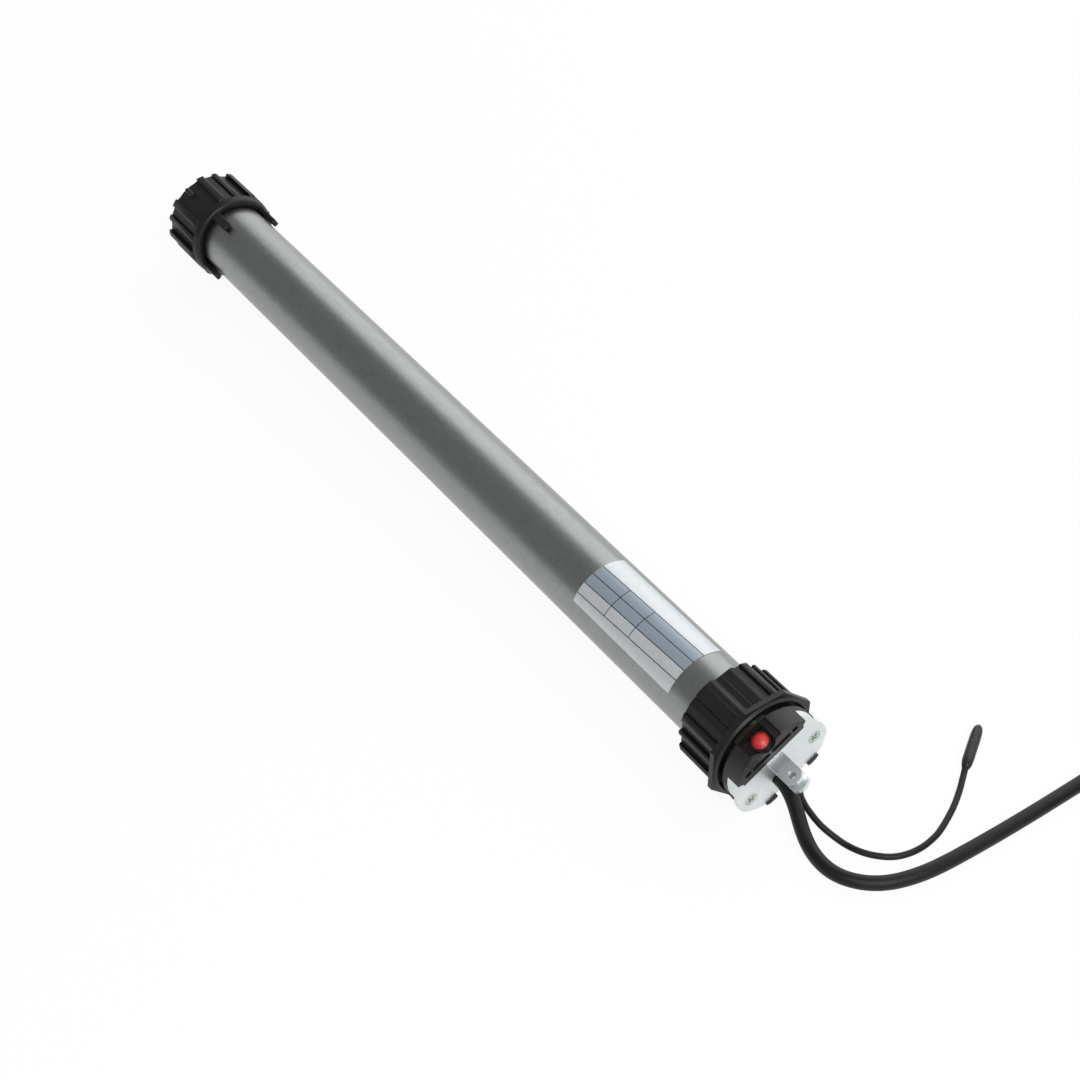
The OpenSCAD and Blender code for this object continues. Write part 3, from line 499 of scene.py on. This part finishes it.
# sleeve on the lead's end: a tapered neck, a full body and a rounded closed end
SLEEVE = [(28.4, 93.3, LEAD_Z + 0.8), (27.5, 95, -28.2), (25.6, 97.8, -27.9),
          (22.5, 102.6, -27.9), (19.3, 107.5, -27.9), (15.6, 113.2, -27.9),
          (13, 117.2, -27.9), (11.9, 118.9, -27.9)]
SLEEVE_R = [1.95, 2.7, 3.05, 3.05, 3.05, 3.0, 2.6, 1.2]
SLEEVE_D = 6.1
# the stored length: radius of the outer turn, distance between turns, and degrees in all
COIL_R = 60.0
COIL_STEP = CABLE_D + 0.6
COIL_TURN = 2340
# stripped end: insulated cores round the cable's middle, and the bare wire in each
CORE_D = 2.6
CORE_OUT = 1.55
CORE_LENGTH = 26
CORE_LONGER = 3
WIRE_D = 1.4
# points closer than this are thinned out before a bend is evened
LEAST_STEP = 1.4


def ease(t):
    """0 to 1 with a soft start and stop."""
    t = min(1.0, max(0.0, t))
    return t * t * (3 - 2 * t)


def coil_point(f):
    """The stored length's centreline at f degrees: in on the floor, up half a turn, out on top."""
    r = COIL_R - COIL_STEP * min(f, COIL_TURN - f) / 360
    a = math.radians(180 - f)
    rise = COIL_STEP * ease((f - COIL_TURN / 2 + 90) / 180)
    return (CABLE_END_X + COIL_R + r * math.cos(a), CABLE_END_Y + CABLE_D + r * math.sin(a),
            CABLE_Z + rise)


def smooth_route(points, steps=6):
    """Points along a smooth curve through the route's own points."""
    p = [Vector(q) for q in points]
    p = [2 * p[0] - p[1]] + p + [2 * p[-1] - p[-2]]
    out = []
    for i in range(1, len(p) - 2):
        for k in range(steps):
            t = k / steps
            out.append(0.5 * (2 * p[i] + (p[i + 1] - p[i - 1]) * t
                              + (2 * p[i - 1] - 5 * p[i] + 4 * p[i + 1] - p[i + 2]) * t * t
                              + (3 * p[i] - p[i - 1] - 3 * p[i + 1] + p[i + 2]) * t * t * t))
    out.append(p[-2])
    return out


def settled(values, passes):
    """Points or numbers, each moved a little towards its neighbours; the ends stay."""
    for _ in range(passes):
        between = [(a + 2 * b + c) / 4 for a, b, c in zip(values, values[1:], values[2:])]
        values = [values[0]] + between + [values[-1]]
    return values


def eased(points, passes=12):
    """A curve's points thinned out and settled, so that its bends even out."""
    line = [points[0]]
    for point in points:
        if (point - line[-1]).length > LEAST_STEP:
            line.append(point)
    line[-1] = points[-1]
    return settled(line, passes)


def cord_curve(name, points, diameter, finish, radii=None):
    """A round cord on one open spline, with its own radius at each point where given."""
    data = bpy.data.curves.new(name, "CURVE")
    data.dimensions = "3D"
    data.bevel_depth = diameter / 2 * MM
    data.bevel_resolution = 5
    data.use_fill_caps = True
    spline = data.splines.new("POLY")
    spline.points.add(len(points) - 1)
    for i, (spot, place) in enumerate(zip(spline.points, points)):
        spot.co = (*(Vector(place) * MM), 1.0)
        spot.radius = radii[i] / (diameter / 2) if radii else 1.0
    data.materials.append(finish)
    made = bpy.data.objects.new(name, data)
    bpy.context.collection.objects.link(made)
    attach(made, "motor")
    return made


coil = [Vector(coil_point(f)) for f in range(0, COIL_TURN + 1, 6)]
coil_end = Vector(coil_point(COIL_TURN)) - Vector((0, CABLE_D, 0))
cable_points = eased(smooth_route(CABLE)) + coil + [coil_end]
supply_cable = cord_curve("supply_cable", cable_points, CABLE_D, cord_sheath)
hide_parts("power_cable", "power_cable_coil")
lead_points = smooth_route(LEAD)
thin_lead = cord_curve("thin_lead", lead_points, LEAD_D, cord_sheath)
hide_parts("antenna_lead")


def core_insulation(name, code, pale):
    """Thin smooth insulation: a clean colour with a soft shine."""
    return plastic(name, code, pale, 0.3, grain=1400.0, depth=0.000004, edge=0.0)


CORE_FINISH = {"brown": core_insulation("brown_insulation", "#4d2410", "#59290f"),
               "blue": core_insulation("blue_insulation", "#1c3f8c", "#234a9c"),
               "earth": core_insulation("earth_insulation", "#9aa823", "#a9b62d")}
core_pieces = []
for k, (core_name, core_finish) in enumerate(CORE_FINISH.items()):
    around = math.radians(120 * k)
    root = coil_end + Vector((CORE_OUT * math.cos(around), 0, -CORE_OUT * math.sin(around)))
    reach = CORE_LENGTH + CORE_LONGER * k
    insulation = [root + Vector((0, -reach * t / 10, 0)) for t in range(11)]
    core_piece = cord_curve("core_" + core_name, insulation, CORE_D, core_finish)
    bare = [root + Vector((0, -d, 0)) for d in (reach - 2, reach, reach + 4, reach + 8)]
    wire_piece = cord_curve("core_wire_" + core_name, bare, WIRE_D, copper)
    core_pieces += [core_piece, wire_piece]
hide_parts("power_cable_cores")

# closed sleeve on the thin lead
sleeve_points, sleeve_radii = [], []
for i in range(len(SLEEVE) - 1):
    for k in range(4):
        t = k / 4
        sleeve_points.append(Vector(SLEEVE[i]).lerp(Vector(SLEEVE[i + 1]), t))
        sleeve_radii.append(SLEEVE_R[i] + (SLEEVE_R[i + 1] - SLEEVE_R[i]) * t)
sleeve_points.append(Vector(SLEEVE[-1]))
sleeve_radii.append(SLEEVE_R[-1])
lead_sleeve = cord_curve("lead_sleeve", settled(sleeve_points, 3), SLEEVE_D, head_moulding,
                         settled(sleeve_radii, 3))
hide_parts("antenna_sleeve")

# Floor, world and lamps: half the floor's width in metres, its own white, and the sky's strength
FLOOR_HALF = 40.0
FLOOR_GLOW = 0.93
WORLD_LIGHT = 0.33


def flat_stage(name, finish):
    """A flat sheet under the motor, wide enough to fill the view."""
    sheet = bmesh.new()
    bmesh.ops.create_grid(sheet, x_segments=1, y_segments=1, size=FLOOR_HALF)
    bmesh.ops.translate(sheet, verts=sheet.verts, vec=(0, 0, FLOOR * MM))
    new_piece(name, sheet, finish)


def pale_floor():
    """A white floor, white to the view and in reflections, that keeps the object's shadow."""
    made, tree, shader, _ = material("pale_floor")
    shader.inputs["Base Color"].default_value = linear("#f6f6f6")
    shader.inputs["Roughness"].default_value = 0.9
    rays = node(tree, "ShaderNodeLightPath").outputs
    seen = math_node(tree, "MAXIMUM", rays["Is Camera Ray"], rays["Is Glossy Ray"])
    seen = math_node(tree, "MAXIMUM", seen, rays["Is Transmission Ray"])
    glow = node(tree, "ShaderNodeEmission", {"Color": linear("#ffffff"), "Strength": 1.0})
    mix = node(tree, "ShaderNodeMixShader",
               {0: math_node(tree, "MULTIPLY", seen, FLOOR_GLOW)})
    tree.links.new(shader.outputs[0], mix.inputs[1])
    tree.links.new(glow.outputs[0], mix.inputs[2])
    tree.links.new(mix.outputs[0], tree.nodes["Material Output"].inputs["Surface"])
    return made


flat_stage("floor", pale_floor())
world = bpy.data.worlds.new("studio")
world.use_nodes = True
sky = world.node_tree.nodes["Background"]
sky.inputs["Color"].default_value = linear("#ffffff")
sky.inputs["Strength"].default_value = WORLD_LIGHT
bpy.context.scene.world = world


def soft_lamp(name, place, aim, long_side, short_side, power):
    """An oblong soft lamp at a place, turned to what it lights, its long side along the motor."""
    data = bpy.data.lights.new(name, "AREA")
    data.shape = "RECTANGLE"
    data.size = long_side
    data.size_y = short_side
    data.energy = power
    lamp = bpy.data.objects.new(name, data)
    lamp.location = place
    away = (Vector(place) - Vector(aim)).normalized()
    along = (Vector((1, 0, 0)) - away * away.x).normalized()
    turned = Matrix((along, away.cross(along), away)).transposed()
    lamp.rotation_euler = turned.to_euler()
    bpy.context.collection.objects.link(lamp)


# a long lamp behind and above the tube, and a smaller one in front of the head
soft_lamp("key_lamp", (-0.8, 1.25, 0.95), (-0.5, 0, 0), long_side=3.0, short_side=1.7, power=25)
soft_lamp("fill_lamp", (1.05, -0.35, 1.2), (-0.15, 0, 0), long_side=1.2, short_side=1.2, power=22)
bpy.context.scene.view_settings.view_transform = "Standard"
